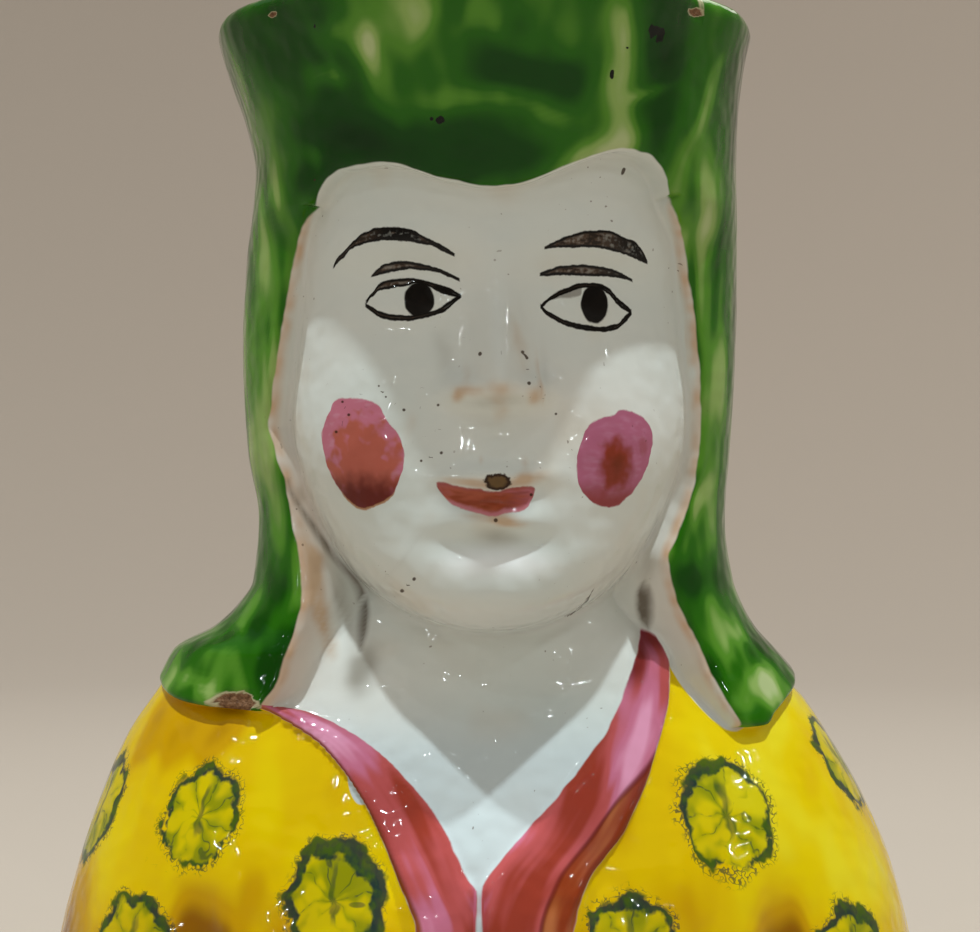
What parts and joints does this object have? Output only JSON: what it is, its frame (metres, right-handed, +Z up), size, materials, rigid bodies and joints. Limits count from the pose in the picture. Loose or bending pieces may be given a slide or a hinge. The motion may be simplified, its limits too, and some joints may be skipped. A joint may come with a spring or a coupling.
{
  "type": "figural faience decanter",
  "caption": "Glazed faience decanter shaped as a woman's head and shoulders, with an open hat rim as its mouth, a veil to the shoulders and a robe with lapels, cut flat below.",
  "frame": {"origin": "middle of the flat underside, on the vessel's axis", "axes": "+Z up through the mouth, -Y the way the face looks, +X to the right of a viewer who faces it"},
  "size_m": [0.1695, 0.1216, 0.1956],
  "materials": {
    "glaze": "gloss"
  },
  "bodies": {
    "root": {"decanter": "glaze"}
  },
  "joints": []
}
